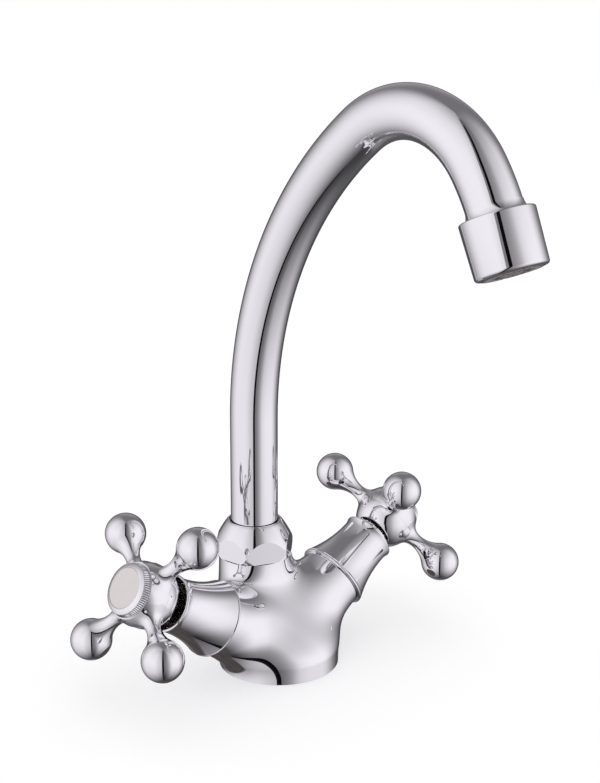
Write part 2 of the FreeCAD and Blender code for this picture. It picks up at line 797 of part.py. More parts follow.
def handle_arm():
    # outline of one arm about its own axis: flared root, neck, tangent blend, ball
    run = ball_reach - arm_neck_reach
    blend_r = (arm_neck_r ** 2 + run ** 2 - ball_r ** 2) / (2 * (ball_r - arm_neck_r))
    across = arm_neck_r + blend_r
    away = math.hypot(across, run)
    touch = (ball_r * across / away, ball_reach - ball_r * run / away)
    blend_mid = curve_point(across, arm_neck_reach, blend_r, math.atan2(run, across) / 2)
    root_turn = math.radians(arm_root_angle)
    root_across = arm_neck_r + arm_root_curve
    root_mid = curve_point(root_across, arm_neck_reach, arm_root_curve, -root_turn / 2)
    root = curve_point(root_across, arm_neck_reach, arm_root_curve, -root_turn)
    arm = turned(
        (0, root[1]),
        root,
        (root_mid, (arm_neck_r, arm_neck_reach)),
        (blend_mid, touch),
        ((ball_r, ball_reach), (0, ball_reach + ball_r)),
    )
    arm.rotate(FreeCAD.Vector(0, 0, 0), FreeCAD.Vector(0, 1, 0), 90)
    arm.translate(FreeCAD.Vector(0, 0, ball_plane))
    return arm


def curve_point(centre_r, centre_z, radius, turn):
    # point on a hollow curve whose centre lies outside the arm
    return (centre_r - radius * math.cos(turn), centre_z + radius * math.sin(turn))


def handle_screw(side):
    screw = rod(screw_r, screw_seat - screw_length, screw_seat + 1)
    screw = screw.fuse(rod(screw_head_r, screw_seat, screw_seat + screw_head_t))
    key = hexagon(screw_key, screw_seat + screw_head_t / 2, screw_seat + screw_head_t + 1)
    return on_valve(screw.cut(key), side)


def cap_ring(side):
    # knurled band with a bevelled face; its skirt plugs into the handle
    bottom = hub_top
    shoulder = bottom + cap_band
    face = shoulder + cap_bevel
    skirt_r = cap_socket_r - cap_gap
    body = turned(
        (skirt_r - cap_wall, bottom - cap_skirt),
        (skirt_r, bottom - cap_skirt),
        (skirt_r, bottom),
        (cap_r, bottom),
        (cap_r, shoulder),
        (cap_r - cap_bevel, face),
        (badge_r + cap_gap, face),
        (badge_r + cap_gap, face - cap_seat),
        (skirt_r - cap_wall, face - cap_seat),
    )
    return on_valve(body, side)


def cap_badge(side):
    # plain domed disc, left without any mark
    back = hub_top + cap_band + cap_bevel - cap_seat
    edge = back + cap_seat
    dome_r = (badge_r ** 2 + badge_dome ** 2) / (2 * badge_dome)
    crown = edge + badge_dome
    half_way = crown - dome_r + math.sqrt(dome_r ** 2 - badge_r ** 2 / 4)
    badge = turned(
        (0, back),
        (badge_r, back),
        (badge_r, edge),
        ((badge_r / 2, half_way), (0, crown)),
    )
    return on_valve(badge, side)


def main():
    os.makedirs("parts", exist_ok=True)
    write_step("body_casting", body_casting())
    write_step("base_gasket", base_gasket())
    write_step("spout_nut", spout_nut())
    write_step("slide_ring", slide_ring())
    write_step("friction_ring", friction_ring())
    write_step("spout_tail", spout_tail())
    write_step("spout_tail_seals", tail_seals())
    write_step("spout_tube", spout_tube())
    write_step("outlet_fitting", outlet_fitting())
    write_step("aerator_housing", aerator_housing())
    write_step("aerator_washer", aerator_washer())
    write_step("aerator_insert", aerator_insert())
    write_step("aerator_screen", aerator_screen())
    sides = (("hot", -1, hot_handle_angle), ("cold", 1, cold_handle_angle))
    for name, side, angle in sides:
        write_step(name + "_seat_seal", seat_seal(side))
        write_step(name + "_fixed_disc", fixed_disc(side))
        write_step(name + "_moving_disc", moving_disc(side))
        write_step(name + "_headwork", headwork(side))
        write_step(name + "_bonnet_seal", bonnet_seal(side))
        write_step(name + "_spindle", spindle(side))
        write_step(name + "_spindle_seals", spindle_seals(side))
        write_step(name + "_circlip", circlip(side))
        write_step(name + "_sleeve", sleeve(side))
        write_step(name + "_cross_handle", cross_handle(side, angle))
        write_step(name + "_handle_screw", handle_screw(side))
        write_step(name + "_cap_ring", cap_ring(side))
        write_step(name + "_cap_badge", cap_badge(side))


main()
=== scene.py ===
import json
import math
import bmesh
import bpy
import numpy as np
from mathutils import Matrix, Vector


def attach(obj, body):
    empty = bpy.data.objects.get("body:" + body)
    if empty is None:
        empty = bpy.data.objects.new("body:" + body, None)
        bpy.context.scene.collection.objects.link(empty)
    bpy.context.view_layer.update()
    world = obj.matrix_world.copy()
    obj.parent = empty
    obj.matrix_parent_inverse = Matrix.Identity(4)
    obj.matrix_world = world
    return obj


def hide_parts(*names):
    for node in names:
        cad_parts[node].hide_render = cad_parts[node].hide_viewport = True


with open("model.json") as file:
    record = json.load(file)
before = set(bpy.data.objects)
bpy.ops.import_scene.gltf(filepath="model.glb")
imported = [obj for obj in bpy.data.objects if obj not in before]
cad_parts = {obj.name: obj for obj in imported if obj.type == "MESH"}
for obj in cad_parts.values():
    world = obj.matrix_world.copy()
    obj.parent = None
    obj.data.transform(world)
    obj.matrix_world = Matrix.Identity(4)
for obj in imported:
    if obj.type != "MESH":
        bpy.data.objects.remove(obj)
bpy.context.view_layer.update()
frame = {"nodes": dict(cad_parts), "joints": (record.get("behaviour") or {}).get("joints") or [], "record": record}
print("frame loaded:", len(frame["nodes"]), "nodes")

# Shapes are drawn in millimetres and made metres as each piece is finished.
toMetres = 0.001
joints = {joint["name"]: joint for joint in frame["joints"]}
neckY = joints["spout_swivel"]["pos_m"][1] / toMetres
sides = ("hot", "cold")


# Camera, floor and light

view = {
    "place": (-360.55, -417.89, 269.16),   # mm, found from the base circle and the outlines
    "azimuth": -41.66,
    "elevation": 15.38,
    "roll": 0.215,
    "focalPixels": 1421.26,
    "centrePixel": (300.0, 391.5),
    "pictureSize": (600, 783),
    "sensor": 36.0,
}


def makeCamera():
    data = bpy.data.cameras.new("camera")
    camera = bpy.data.objects.new("camera", data)
    bpy.context.scene.collection.objects.link(camera)
    a, e, roll = (math.radians(view[k]) for k in ("azimuth", "elevation", "roll"))
    back = Vector((math.sin(a) * math.cos(e), -math.cos(a) * math.cos(e), math.sin(e)))
    right = Vector((math.cos(a), math.sin(a), 0))
    up = back.cross(right)
    turnedRight = right * math.cos(roll) + up * math.sin(roll)
    turnedUp = up * math.cos(roll) - right * math.sin(roll)
    place = Vector(view["place"]) * toMetres
    camera.matrix_world = Matrix((turnedRight, turnedUp, back)).transposed().to_4x4()
    camera.location = place
    longSide = max(view["pictureSize"])
    data.sensor_width = view["sensor"]
    data.lens = view["focalPixels"] * view["sensor"] / longSide
    data.clip_start = 0.01
    data.clip_end = 20
    bpy.context.scene.camera = camera


studio = {
    "background": (1.0, 1.0, 1.0),
    "tint": (0.977, 0.946, 1.0),          # the tent's cloth is slightly lilac
    "tentAzimuth": view["azimuth"],       # azimuths below count from the camera, positive to its right
    "roomLevel": 1.0,                     # what plain surfaces are lit by
    "darkest": 0.05,                      # straight down
    "cloth": 0.18,                        # unlit cloth between the boxes
    "clothHeight": (-85, 0),              # degrees, from darkest to cloth
    "boxes": [                            # lit ranges in degrees: fades in, full, full, fades out
        {"level": 0.585, "azimuth": (-165, -85, -45, 30), "height": (-100, -30, 45, 115)},
        {"level": 0.18, "azimuth": (-165, -85, -45, 30), "height": (-55, 10, 12, 70)},
        {"level": 0.79, "azimuth": (-30, 70, 90, 145), "height": (-88, -5, 10, 95)},
        {"level": 0.25, "azimuth": (150, 170, 190, 210), "height": (-80, -35, 0, 60)},
    ],
    "backDark": {"level": 0.25, "inner": 18.0, "outer": 42.0},    # behind the tap, degrees round the view
}
slit = {
    "azimuth": -40.8,
    "distance": 545.0, "width": 86.0, "low": -6000.0, "high": 1900.0,
    "colour": (0.012, 0.01, 0.014),
}
shade = {
    "distance": 300.0, "start": -10.0, "end": 270.0,
    "deepest": 0.30,      # share of the light that passes at its start
}
# painted shade under the tap, a dark sheet seen only in mirror images
underShade = {
    "place": (0.0, 28.0, -70.0), "radius": 62.0, "core": 52.0, "sides": 48,
    "colour": (0.02, 0.018, 0.018), "streaks": (0.12, 0.108, 0.105), "streakScale": 60,
}


def mathNode(nodes, links, operation, *values):
    # each value is a number or a socket
    node = nodes.new("ShaderNodeMath")
    node.operation = operation
    for socket, value in zip(node.inputs, values):
        if isinstance(value, (int, float)):
            socket.default_value = value
        else:
            links.new(value, socket)
    return node.outputs[0]


def smoothRange(nodes, links, value, start, end, low=0.0, high=1.0):
    node = nodes.new("ShaderNodeMapRange")
    node.interpolation_type = "SMOOTHSTEP"
    node.inputs["From Min"].default_value = start
    node.inputs["From Max"].default_value = end
    node.inputs["To Min"].default_value = low
    node.inputs["To Max"].default_value = high
    links.new(value, node.inputs["Value"])
    return node.outputs["Result"]


def softBox(nodes, links, turn, height, box):
    centre = (box["azimuth"][1] + box["azimuth"][2]) / 2
    fromCentre = mathNode(nodes, links, "SUBTRACT", turn, centre)
    wrapped = mathNode(nodes, links, "WRAP", fromCentre, -180.0, 180.0)
    a, b, c, d = (edge - centre for edge in box["azimuth"])
    left = smoothRange(nodes, links, wrapped, a, b)
    right = smoothRange(nodes, links, wrapped, c, d, 1, 0)
    a, b, c, d = box["height"]
    low = smoothRange(nodes, links, height, a, b)
    high = smoothRange(nodes, links, height, c, d, 1, 0)
    sideways = mathNode(nodes, links, "MULTIPLY", left, right)
    upward = mathNode(nodes, links, "MULTIPLY", low, high)
    both = mathNode(nodes, links, "MULTIPLY", sideways, upward)
    return mathNode(nodes, links, "MULTIPLY", both, box["level"])


def mixColours(nodes, links, factor, first, second):
    # blends two colours, each given as three numbers or as a socket
    mix = nodes.new("ShaderNodeMix")
    mix.data_type = "RGBA"
    links.new(factor, mix.inputs["Factor"])
    for socket, colour in ((mix.inputs["A"], first), (mix.inputs["B"], second)):
        if isinstance(colour, tuple):
            socket.default_value = (*colour, 1)
        else:
            links.new(colour, socket)
    return mix.outputs["Result"]


def addNoise(material, scale, detail=3.0):
    nodes, links = material.node_tree.nodes, material.node_tree.links
    coordinate = nodes.new("ShaderNodeTexCoord")
    noise = nodes.new("ShaderNodeTexNoise")
    noise.inputs["Scale"].default_value = scale
    noise.inputs["Detail"].default_value = detail
    links.new(coordinate.outputs["Object"], noise.inputs["Vector"])
    return noise


def tentLight(nodes, links):
    # brightness of the light tent for a direction in the room
    coordinate = nodes.new("ShaderNodeTexCoord")
    parts = nodes.new("ShaderNodeSeparateXYZ")
    links.new(coordinate.outputs["Generated"], parts.inputs[0])
    backward = mathNode(nodes, links, "MULTIPLY", parts.outputs["Y"], -1.0)
    across = mathNode(nodes, links, "MULTIPLY", parts.outputs["X"], -1.0)
    angle = mathNode(nodes, links, "ARCTAN2", across, backward)
    degrees = mathNode(nodes, links, "DEGREES", angle)
    flipped = mathNode(nodes, links, "MULTIPLY", degrees, -1.0)
    turned = mathNode(nodes, links, "SUBTRACT", flipped, studio["tentAzimuth"])
    turn = mathNode(nodes, links, "WRAP", turned, -180.0, 180.0)
    rise = mathNode(nodes, links, "ARCSINE", parts.outputs["Z"])
    height = mathNode(nodes, links, "DEGREES", rise)
    total = smoothRange(nodes, links, height, *studio["clothHeight"], studio["darkest"], studio["cloth"])
    for box in studio["boxes"]:
        total = mathNode(nodes, links, "ADD", total, softBox(nodes, links, turn, height, box))
    ahead = nodes.new("ShaderNodeVectorMath")
    ahead.operation = "DOT_PRODUCT"
    a, e = math.radians(view["azimuth"]), math.radians(view["elevation"])
    ahead.inputs[1].default_value = (-math.sin(a) * math.cos(e), math.cos(a) * math.cos(e), -math.sin(e))
    links.new(coordinate.outputs["Generated"], ahead.inputs[0])
    gap = studio["backDark"]
    outer, inner = (math.cos(math.radians(gap[k])) for k in ("outer", "inner"))
    kept = smoothRange(nodes, links, ahead.outputs["Value"], outer, inner, 1.0, gap["level"])
    return mathNode(nodes, links, "MULTIPLY", total, kept)


def makeWorld():
    world = bpy.data.worlds.new("studio")
    bpy.context.scene.world = world
    world.use_nodes = True
    nodes, links = world.node_tree.nodes, world.node_tree.links
    nodes.clear()
    tent = nodes.new("ShaderNodeBackground")
    tent.inputs["Color"].default_value = (*studio["tint"], 1)
    links.new(tentLight(nodes, links), tent.inputs["Strength"])
    room = nodes.new("ShaderNodeBackground")
    room.inputs["Color"].default_value = (1, 1, 1, 1)
    room.inputs["Strength"].default_value = studio["roomLevel"]
    white = nodes.new("ShaderNodeBackground")
    white.inputs["Color"].default_value = (*studio["background"], 1)
    path = nodes.new("ShaderNodeLightPath")
    glossy = nodes.new("ShaderNodeMixShader")
    links.new(path.outputs["Is Glossy Ray"], glossy.inputs[0])
    links.new(room.outputs[0], glossy.inputs[1])
    links.new(tent.outputs[0], glossy.inputs[2])
    seen = nodes.new("ShaderNodeMixShader")
    links.new(path.outputs["Is Camera Ray"], seen.inputs[0])
    links.new(glossy.outputs[0], seen.inputs[1])
    links.new(white.outputs[0], seen.inputs[2])
    output = nodes.new("ShaderNodeOutputWorld")
    links.new(seen.outputs[0], output.inputs["Surface"])
    world.cycles.sampling_method = "NONE"   # the world changes with the kind of ray


def makeCard(name, corners, colour, place):
    # flat dark card, seen only in mirror images
    shape = bmesh.new()
    shape.faces.new([shape.verts.new((x, y, z)) for x, y, z in corners])
    mesh = bpy.data.meshes.new(name)
    shape.to_mesh(mesh)
    shape.free()
    mesh.transform(Matrix.Scale(toMetres, 4))
    card = bpy.data.objects.new(name, mesh)
    bpy.context.scene.collection.objects.link(card)
    card.matrix_world = place
    card.visible_camera = False
    card.visible_diffuse = False
    card.visible_shadow = False
    material = bpy.data.materials.new(name)
    material.use_nodes = True
    nodes, links = material.node_tree.nodes, material.node_tree.links
    nodes.clear()
    glow = nodes.new("ShaderNodeEmission")
    glow.inputs["Color"].default_value = (*colour, 1)
    output = nodes.new("ShaderNodeOutputMaterial")
    links.new(glow.outputs[0], output.inputs["Surface"])
    mesh.materials.append(material)
    return material


def towardsLens(distance):
    # upright place between the tap and the lens, facing the tap
    turn = math.radians(slit["azimuth"])
    away = distance * toMetres
    place = Matrix.Translation((math.sin(turn) * away, -math.cos(turn) * away, 0))
    return place @ Matrix.Rotation(turn, 4, "Z")


def makeSlit():
    # dark gap in the tent's front wall that the camera looks through
    half, low, high = slit["width"] / 2, slit["low"], slit["high"]
    corners = [(-half, 0, low), (half, 0, low), (half, 0, high), (-half, 0, high)]
    makeCard("tentSlit", corners, slit["colour"], towardsLens(slit["distance"]))


def makeShade():
    # thin cloth that dims the tent to the right of the gap
    start, end, low, high = shade["start"], shade["end"], slit["low"], slit["high"]
    corners = [(start, 0, low), (end, 0, low), (end, 0, high), (start, 0, high)]
    material = makeCard("tentShade", corners, slit["colour"], towardsLens(shade["distance"]))
    nodes, links = material.node_tree.nodes, material.node_tree.links
    coordinate = nodes.new("ShaderNodeTexCoord")
    parts = nodes.new("ShaderNodeSeparateXYZ")
    links.new(coordinate.outputs["Object"], parts.inputs[0])
    across = parts.outputs["X"]
    passed = smoothRange(nodes, links, across, start * toMetres, end * toMetres, shade["deepest"], 1.0)
    clear = nodes.new("ShaderNodeBsdfTransparent")
    links.new(passed, clear.inputs["Color"])
    links.new(clear.outputs[0], nodes["Material Output"].inputs["Surface"])


def thinOut(material, shown):
    # lets the card be seen through where the value shown is low
    nodes, links = material.node_tree.nodes, material.node_tree.links
    clear = nodes.new("ShaderNodeBsdfTransparent")
    mix = nodes.new("ShaderNodeMixShader")
    links.new(shown, mix.inputs[0])
    links.new(clear.outputs[0], mix.inputs[1])
    links.new(nodes["Emission"].outputs[0], mix.inputs[2])
    links.new(mix.outputs[0], nodes["Material Output"].inputs["Surface"])


def makeUnderShade():
    # painted shade: a dark round sheet below the table for the shade under the tap, mirrored by the undersides and
    # fading at its rim
    radius = underShade["radius"]
    turns = [2 * math.pi * k / underShade["sides"] for k in range(underShade["sides"])]
    corners = [(radius * math.cos(a), radius * math.sin(a), 0) for a in turns]
    place = Matrix.Translation(Vector(underShade["place"]) * toMetres)
    material = makeCard("underShadeSheet", corners, underShade["colour"], place)
    nodes, links = material.node_tree.nodes, material.node_tree.links
    streaks = addNoise(material, underShade["streakScale"])
    colour = mixColours(nodes, links, streaks.outputs["Fac"], underShade["colour"], underShade["streaks"])
    links.new(colour, nodes["Emission"].inputs["Color"])
    coordinate = nodes.new("ShaderNodeTexCoord")
    outward = nodes.new("ShaderNodeVectorMath")
    outward.operation = "LENGTH"
    links.new(coordinate.outputs["Object"], outward.inputs[0])
    core, edge = underShade["core"] * toMetres, radius * toMetres
    thinOut(material, smoothRange(nodes, links, outward.outputs["Value"], core, edge, 1.0, 0.0))


ground = {
    "size": 6.0, "drop": 0.0001,                     # metres
    "colour": (0.60, 0.60, 0.61), "lift": 0.44,      # the lift is white added for the camera alone
}


def makeFloor():
    shape = bmesh.new()
    bmesh.ops.create_grid(shape, x_segments=8, y_segments=8, size=ground["size"] / 2)
    mesh = bpy.data.meshes.new("floor")
    shape.to_mesh(mesh)
    shape.free()
    floor = bpy.data.objects.new("floor", mesh)
    bpy.context.scene.collection.objects.link(floor)
    floor.location.z = -ground["drop"]
    floor.visible_glossy = False      # metal mirrors the tent, whose lower part stands for the table
    material = bpy.data.materials.new("paleTable")
    material.use_nodes = True
    nodes, links = material.node_tree.nodes, material.node_tree.links
    nodes.clear()
    matt = nodes.new("ShaderNodeBsdfDiffuse")
    matt.inputs["Color"].default_value = (*ground["colour"], 1)
    glow = nodes.new("ShaderNodeEmission")
    path = nodes.new("ShaderNodeLightPath")
    lift = mathNode(nodes, links, "MULTIPLY", path.outputs["Is Camera Ray"], ground["lift"])
    links.new(lift, glow.inputs["Strength"])
    both = nodes.new("ShaderNodeAddShader")
    links.new(matt.outputs[0], both.inputs[0])
    links.new(glow.outputs[0], both.inputs[1])
    output = nodes.new("ShaderNodeOutputMaterial")
    links.new(both.outputs[0], output.inputs["Surface"])
    mesh.materials.append(material)


bpy.context.scene.view_settings.view_transform = "Standard"
makeCamera()
makeWorld()
makeSlit()
makeShade()
makeUnderShade()
makeFloor()
print("camera, tent and floor are up")


# Materials

def newMaterial(name, colour, roughness, metallic=0.0):
    material = bpy.data.materials.new(name)
    material.use_nodes = True
    shader = material.node_tree.nodes["Principled BSDF"]
    shader.inputs["Base Color"].default_value = (*colour, 1)
    shader.inputs["Roughness"].default_value = roughness
    shader.inputs["Metallic"].default_value = metallic
    return material


noiseRange = (0.3, 0.7)      # most of a noise lies between these


def varyRoughness(material, noise, low, high):
    nodes, links = material.node_tree.nodes, material.node_tree.links
    spread = nodes.new("ShaderNodeMapRange")
    spread.inputs["From Min"].default_value = noiseRange[0]
    spread.inputs["From Max"].default_value = noiseRange[1]
    spread.inputs["To Min"].default_value = low
    spread.inputs["To Max"].default_value = high
    links.new(noise.outputs["Fac"], spread.inputs["Value"])
    links.new(spread.outputs["Result"], nodes["Principled BSDF"].inputs["Roughness"])


def varyColour(material, noise, dark, light):
    nodes, links = material.node_tree.nodes, material.node_tree.links
    colour = mixColours(nodes, links, noise.outputs["Fac"], dark, light)
    links.new(colour, nodes["Principled BSDF"].inputs["Base Color"])


def addBump(material, noise, distance, strength=0.4):
    nodes, links = material.node_tree.nodes, material.node_tree.links
    bump = nodes.new("ShaderNodeBump")
    bump.inputs["Strength"].default_value = strength
    bump.inputs["Distance"].default_value = distance
    links.new(noise.outputs["Fac"], bump.inputs["Height"])
    links.new(bump.outputs["Normal"], nodes["Principled BSDF"].inputs["Normal"])


def chromeFinish(name):
    finish = {
        "colour": (0.93, 0.925, 0.945), "haze": 900, "rough": (0.015, 0.045),
        "waves": 140, "waveStrength": 0.25, "waveDepth": 0.00001,
    }
    material = newMaterial(name, finish["colour"], finish["rough"][1], metallic=1.0)
    haze = addNoise(material, finish["haze"], detail=4)
    varyRoughness(material, haze, *finish["rough"])
    waves = addNoise(material, finish["waves"], detail=1)
    addBump(material, waves, finish["waveDepth"], finish["waveStrength"])
    return material


def simpleFinish(name, dark, light, rough, scale, metallic=0.0, bump=0.00002, roughSpread=0.2):
    material = newMaterial(name, light, rough, metallic)
    grain = addNoise(material, scale, detail=4)
    varyColour(material, grain, dark, light)
    varyRoughness(material, grain, rough * (1 - roughSpread), rough * (1 + roughSpread))
    addBump(material, grain, bump)
    return material


def ribbedFinish(name):
    # moulded plastic with fine ribs in rings, its colour darker in the rib grooves as painted shade
    ribs = {
        "dark": (0.16, 0.14, 0.145), "light": (0.48, 0.44, 0.445), "rough": 0.45,
        "scale": 57.0, "wobble": 0.3, "depth": 0.00002,
    }
    material = newMaterial(name, ribs["light"], ribs["rough"])
    nodes, links = material.node_tree.nodes, material.node_tree.links
    coordinate = nodes.new("ShaderNodeTexCoord")
    wave = nodes.new("ShaderNodeTexWave")
    wave.wave_type = "RINGS"
    wave.rings_direction = "SPHERICAL"
    wave.inputs["Scale"].default_value = ribs["scale"]
    wave.inputs["Distortion"].default_value = ribs["wobble"]
    links.new(coordinate.outputs["Object"], wave.inputs["Vector"])
    # the colour follows the ribs' bump: painted shade in the grooves
    varyColour(material, wave, ribs["dark"], ribs["light"])
    addBump(material, wave, ribs["depth"])
    return material


finishes = {
    "polished_chrome": chromeFinish("polishedChrome"),
    # brass darkened with painted shade, for the headwork down inside the sleeves
    "turned_brass": simpleFinish(
        "shadeDarkenedBrass", (0.24, 0.21, 0.17), (0.32, 0.28, 0.22), 0.6, 300, metallic=0.4, bump=0.000001,
    ),
    "black_rubber": simpleFinish("blackRubber", (0.012, 0.012, 0.013), (0.025, 0.025, 0.026), 0.6, 900),
    "white_acetal": simpleFinish("whiteAcetal", (0.78, 0.78, 0.76), (0.86, 0.86, 0.84), 0.4, 500),
    "grey_plastic": ribbedFinish("greyPlastic"),
    "steel_gauze": simpleFinish("steelGauze", (0.45, 0.45, 0.46), (0.6, 0.6, 0.6), 0.3, 1500, 1.0),
    "spring_steel": simpleFinish("springSteel", (0.4, 0.4, 0.41), (0.55, 0.55, 0.56), 0.25, 900, 1.0),
    "ceramic_disc": simpleFinish("ceramicDisc", (0.84, 0.83, 0.80), (0.92, 0.91, 0.88), 0.2, 400),
    "cream_badge": simpleFinish(
        "creamBadge", (0.72, 0.665, 0.67), (0.77, 0.725, 0.73), 0.35, 250, bump=0.000001,
    ),
}


def knurledFinish():
    # chrome with painted shade darkening the bottoms of its knurl grooves
    knurl = {"grooveShade": (0.10, 0.09, 0.095)}
    material = chromeFinish("knurledChrome")
    nodes, links = material.node_tree.nodes, material.node_tree.links
    base = nodes["Principled BSDF"].inputs["Base Color"]
    groove = nodes.new("ShaderNodeAttribute")
    groove.attribute_name = "trough"
    unshadedColour = base.default_value[:3]
    # painted shade in the knurl groove bottoms
    links.new(mixColours(nodes, links, groove.outputs["Fac"], unshadedColour, knurl["grooveShade"]), base)
    return material


knurledChrome = knurledFinish()
slotOfNode = {part["node"]: part["material_slot"] for part in frame["record"]["subparts"]}
for nodeName, node in frame["nodes"].items():
    node.data.materials.clear()
    node.data.materials.append(finishes[slotOfNode[nodeName]])
print("finishes mixed:", ", ".join(sorted(finishes)))


# Drawing helpers

weld = 0.0001            # points nearer than this become one
cutMargin = 0.00001      # points nearer than this to a cut lie on it
roughAround = 64         # sides of a rough form


def finishPiece(mesh, body, slotName, stoodFor, place=None):
    # stoodFor lists the frame's nodes that the piece takes the place of
    if place is not None:
        mesh.transform(place)
    mesh.transform(Matrix.Scale(toMetres, 4))
    mesh.update()
    piece = bpy.data.objects.new(mesh.name, mesh)
    bpy.context.scene.collection.objects.link(piece)
    mesh.materials.append(finishes[slotName])
    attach(piece, body)
    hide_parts(*stoodFor)
    return piece


def meshFrom(shape, name, sharpAngle=40):
    bmesh.ops.remove_doubles(shape, verts=shape.verts, dist=weld)
    bmesh.ops.recalc_face_normals(shape, faces=shape.faces)
    for face in shape.faces:
        face.smooth = True
    mesh = bpy.data.meshes.new(name)
    shape.to_mesh(mesh)
    shape.free()
    mesh.set_sharp_from_angle(angle=math.radians(sharpAngle))
    return mesh


def circleOf(a, b, c):
    # middle and radius of the circle through three flat points
    d = 2 * (a[0] * (b[1] - c[1]) + b[0] * (c[1] - a[1]) + c[0] * (a[1] - b[1]))
    aa, bb, cc = (p[0] ** 2 + p[1] ** 2 for p in (a, b, c))
    x = (aa * (b[1] - c[1]) + bb * (c[1] - a[1]) + cc * (a[1] - b[1])) / d
    y = (aa * (c[0] - b[0]) + bb * (a[0] - c[0]) + cc * (b[0] - a[0])) / d
    return x, y, math.hypot(a[0] - x, a[1] - y)


def arcThrough(start, middle, end, steps):
    # points of a flat arc, the first one left out
    x, y, radius = circleOf(start, middle, end)
    first, passed, last = (math.atan2(p[1] - y, p[0] - x) for p in (start, middle, end))
    wholeTurn = 2 * math.pi
    sweep = (last - first) % wholeTurn
    if (passed - first) % wholeTurn > sweep:
        sweep -= wholeTurn
    angles = [first + sweep * step / steps for step in range(1, steps + 1)]
    return [(x + radius * math.cos(angle), y + radius * math.sin(angle)) for angle in angles]


def roundCorner(centre, radius, first, last, steps=8):
    # points of an arc round a centre, between two directions given in degrees
    angles = [math.radians(first + (last - first) * step / steps) for step in range(steps + 1)]
    return [(centre[0] + radius * math.cos(angle), centre[1] + radius * math.sin(angle)) for angle in angles]


def spun(outline, steps=144):
    # turns a (radius, height) outline about Z, closed unless both its ends are on the axis
    shape = bmesh.new()
    points = [shape.verts.new((x, 0, z)) for x, z in outline]
    edges = [shape.edges.new(pair) for pair in zip(points, points[1:])]
    if outline[0][0] > weld or outline[-1][0] > weld:
        edges.append(shape.edges.new((points[-1], points[0])))
    bmesh.ops.spin(
        shape, geom=points + edges, cent=(0, 0, 0), axis=(0, 0, 1),
        angle=2 * math.pi, steps=steps, use_merge=True,
    )
    return shape


def edgesOf(points):
    # edges at the points, each once and always in the same order
    return list(dict.fromkeys(edge for point in points for edge in point.link_edges))


def cutOff(shape, point, outward, geometry=None):
    # takes away what lies beyond a plane and fills the open rim flat
    result = bmesh.ops.bisect_plane(
        shape, geom=geometry or shape.verts[:] + shape.edges[:] + shape.faces[:], dist=cutMargin,
        plane_co=point, plane_no=outward, clear_outer=True,
    )
    rim = [e for e in result["geom_cut"] if isinstance(e, bmesh.types.BMEdge) and e.is_boundary]
    bmesh.ops.holes_fill(shape, edges=rim, sides=0)


def addRod(shape, place, low, high, radius, endRadius=None, around=roughAround):
    # rough cylinder or cone along the Z axis of a place
    bmesh.ops.create_cone(
        shape, cap_ends=True, segments=around, radius1=radius, radius2=endRadius or radius,
        depth=high - low, matrix=place @ Matrix.Translation((0, 0, (low + high) / 2)),
    )


def evenNormals(piece):
    modifier = piece.modifiers.new("evenNormals", "WEIGHTED_NORMAL")
    modifier.keep_sharp = True
    modifier.weight = 80


valve = {"jointAlong": 60.0}      # the joint is marked this far up the valve axis
neckPlace = Matrix.Translation((0, neckY, 0))


def valvePlace(side):
    # height 0 is where the valve axis starts
    axis = joints[side + "_handle_turn"]["axis"]
    origin = Vector(joints[side + "_handle_turn"]["pos_m"]) / toMetres
    turn = math.atan2(axis[0], axis[2])
    origin -= Vector(axis) * valve["jointAlong"]
    return Matrix.Translation(origin) @ Matrix.Rotation(turn, 4, "Y")


# Smooth forms: a rough mesh is remeshed, then drawn onto an exact blended surface

flattest = 0.05      # least slope that a step or a normal is divided by
cutEnd = {"alignment": 0.999, "corners": 8}      # a cut end faces its plane's way, with more corners


def softMin(a, b, blend):
    # the smaller of two distances, rounded where they are nearly the same
    share = np.clip(1 - np.abs(a - b) / blend, 0, 1)
    return np.minimum(a, b) - blend * share ** 3 / 6


def eased(value, start, end):
    # runs smoothly from 0 at start to 1 at end
    share = np.clip((value - start) / (end - start), 0, 1)
    return share * share * (3 - 2 * share)


def pointsOf(mesh):
    points = np.zeros(len(mesh.vertices) * 3)
    mesh.vertices.foreach_get("co", points)
    return points.reshape(-1, 3)


def slopeOf(field, points, step=0.01):
    # which way and how fast the field grows at each point
    slope = np.zeros_like(points)
    for axis in range(3):
        shift = np.zeros(3)
        shift[axis] = step
        slope[:, axis] = (field(points + shift) - field(points - shift)) / (2 * step)
    return slope


def remeshed(shape, cell):
    mesh = bpy.data.meshes.new("rough")
    shape.to_mesh(mesh)
    shape.free()
    holder = bpy.data.objects.new("rough", mesh)
    bpy.context.scene.collection.objects.link(holder)
    modifier = holder.modifiers.new("remesh", "REMESH")
    modifier.mode = "VOXEL"
    modifier.voxel_size = cell
    depsgraph = bpy.context.evaluated_depsgraph_get()
    result = bpy.data.meshes.new_from_object(holder.evaluated_get(depsgraph))
    bpy.data.objects.remove(holder)
    return result


def drawOnto(mesh, field, rounds=4, relax=3):
    # moves every point along the slope of the field until it lies on the surface
    points = pointsOf(mesh)
    edges = np.zeros(len(mesh.edges) * 2, int)
    mesh.edges.foreach_get("vertices", edges)
    edges = edges.reshape(-1, 2)
    for turn in range(rounds + relax):
        if turn < relax:
            total = np.zeros_like(points)
            count = np.zeros(len(points))
            for a, b in ((0, 1), (1, 0)):
                np.add.at(total, edges[:, a], points[edges[:, b]])
                np.add.at(count, edges[:, a], 1)
            points = (points + total / count[:, None]) / 2
        slope = slopeOf(field, points)
        steepness = np.maximum((slope ** 2).sum(1), flattest)
        points -= slope * (field(points) / steepness)[:, None]
    mesh.vertices.foreach_set("co", points.ravel())
    mesh.update()


